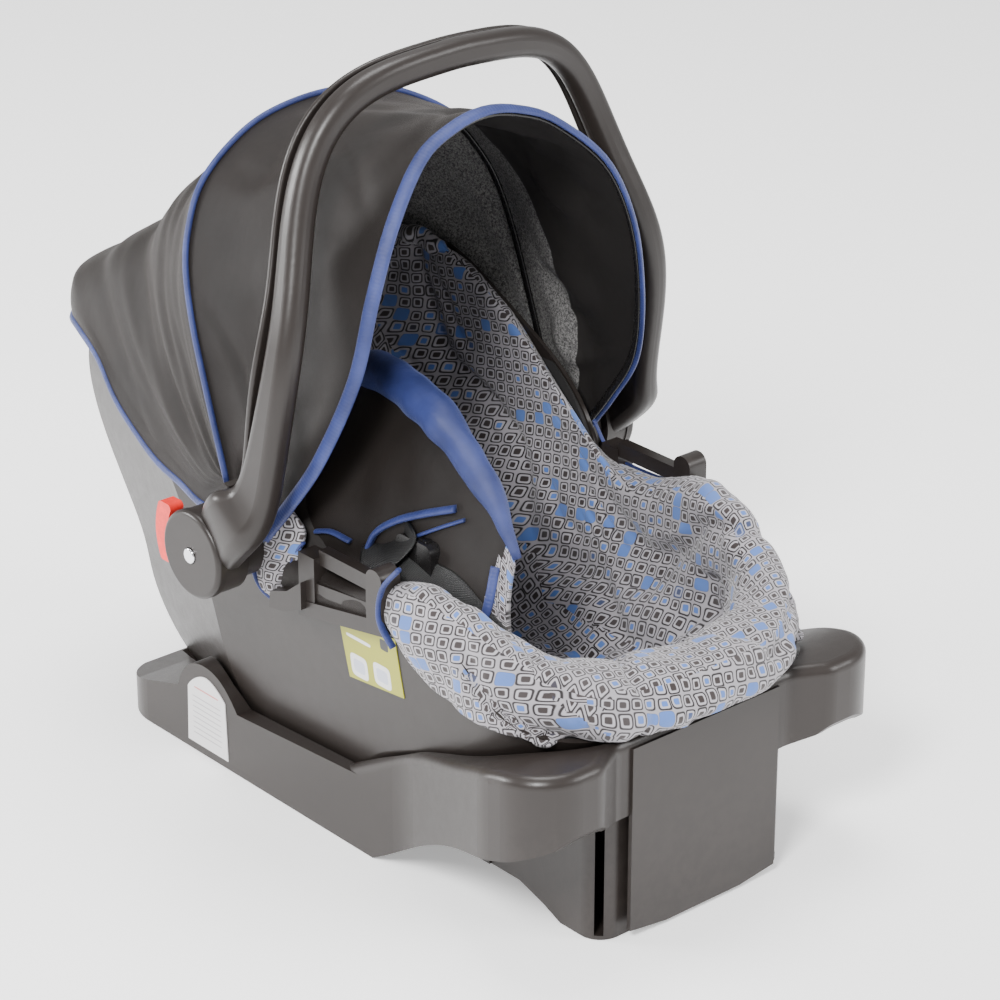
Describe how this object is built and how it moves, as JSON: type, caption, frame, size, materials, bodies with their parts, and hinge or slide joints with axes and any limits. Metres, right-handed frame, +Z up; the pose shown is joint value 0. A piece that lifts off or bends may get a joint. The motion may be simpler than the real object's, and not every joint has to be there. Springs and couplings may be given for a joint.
{
  "type": "infant car seat",
  "caption": "Rear-facing infant carrier with padded bowl, folding canopy and swinging carry handle, clipped into a car base with a sliding recline foot.",
  "frame": {"origin": "on the floor under the middle of the whole seat", "axes": "+Z up, +X across the seat, +Y towards the head end; the foot end is -Y"},
  "size_m": [0.45, 0.7002, 0.64],
  "materials": {
    "shell_plastic": "satin moulded polypropylene",
    "base_plastic": "satin moulded polypropylene",
    "trim_plastic": "satin moulded polypropylene",
    "gear_plastic": "moulded nylon",
    "red_plastic": "glossy moulded plastic",
    "label_white": "printed film",
    "label_green": "printed film",
    "pad_print": "printed polyester over wadding",
    "black_fabric": "woven nylon",
    "blue_satin": "satin weave polyester",
    "webbing": "woven webbing",
    "foam": "expanded polystyrene",
    "chrome": "polished",
    "steel": "zinc plated"
  },
  "bodies": {
    "base": {"base_tray": "base_plastic", "latch_rod": "steel", "base_label": "label_white"},
    "foot": {"recline_foot": "base_plastic", "foot_racks": "base_plastic"},
    "handle": {"handle_main": "trim_plastic", "handle_rear_strip": "trim_plastic", "hub_cap_left": "trim_plastic", "hub_cap_right": "trim_plastic", "button_spring_left": "steel", "button_spring_right": "steel"},
    "button_left": {"handle_button_left": "red_plastic"},
    "button_right": {"handle_button_right": "red_plastic"},
    "mid_bow": {"canopy_mid_bow": "trim_plastic", "canopy_rear_panel": "black_fabric"},
    "front_bow": {"canopy_front_bow": "trim_plastic", "canopy_front_panel": "black_fabric"},
    "buckle_button": {"buckle_button": "red_plastic"},
    "release": {"release_lever": "trim_plastic", "release_link": "steel", "latch_hook": "steel"},
    "carrier": {"adjuster_strap": "webbing", "belt_guide_left": "trim_plastic", "belt_guide_right": "trim_plastic", "buckle_spring": "steel", "carrier_shell": "shell_plastic", "energy_foam": "foam", "harness_adjuster": "steel", "harness_buckle": "trim_plastic", "lap_strap": "webbing", "lock_gear_left": "gear_plastic", "lock_gear_right": "gear_plastic", "pad_foot_roll": "pad_print", "pad_wing": "black_fabric", "pad_wing_roll": "blue_satin", "pivot_bolt_left": "chrome", "pivot_bolt_right": "chrome", "seat_pad": "pad_print", "side_label": "label_green", "splitter_plate": "steel"}
  },
  "joints": [
    {"name": "recline_foot_slide", "type": "slide", "parent": "base", "child": "foot", "axis": [0, 0, -1], "range_m": [0, 0.025]},
    {"name": "carrier_lift", "type": "slide", "parent": "base", "child": "carrier", "axis": [0, 0, 1], "range_m": [0, 0.15]},
    {"name": "handle_swing", "type": "hinge", "parent": "carrier", "child": "handle", "pos_m": [0, 0.025, 0.245], "axis": [1, 0, 0], "range_deg": [-112, 0]},
    {"name": "handle_button_left_press", "type": "slide", "parent": "handle", "child": "button_left", "axis": [0, -1, 0], "range_m": [0, 0.005], "stiffness_N_per_m": 600, "deforming": ["button_spring_left"]},
    {"name": "handle_button_right_press", "type": "slide", "parent": "handle", "child": "button_right", "axis": [0, -1, 0], "range_m": [0, 0.005], "stiffness_N_per_m": 600, "deforming": ["button_spring_right"]},
    {"name": "canopy_mid_fold", "type": "hinge", "parent": "carrier", "child": "mid_bow", "pos_m": [0, 0.025, 0.245], "axis": [-1, 0, 0], "range_deg": [0, 36], "deforming": ["canopy_rear_panel"]},
    {"name": "canopy_front_fold", "type": "hinge", "parent": "mid_bow", "child": "front_bow", "pos_m": [0, 0.025, 0.245], "axis": [-1, 0, 0], "range_deg": [0, 26], "deforming": ["canopy_front_panel"]},
    {"name": "buckle_button_press", "type": "slide", "parent": "carrier", "child": "buckle_button", "axis": [0, 0, -1], "range_m": [0, 0.004], "stiffness_N_per_m": 800, "deforming": ["buckle_spring"]},
    {"name": "release_pull", "type": "slide", "parent": "carrier", "child": "release", "axis": [0, 0, 1], "range_m": [0, 0.006], "stiffness_N_per_m": 600}
  ],
  "couplings": [
    {"joint": "canopy_front_fold", "follows": "canopy_mid_fold", "ratio": 0.72222}
  ]
}
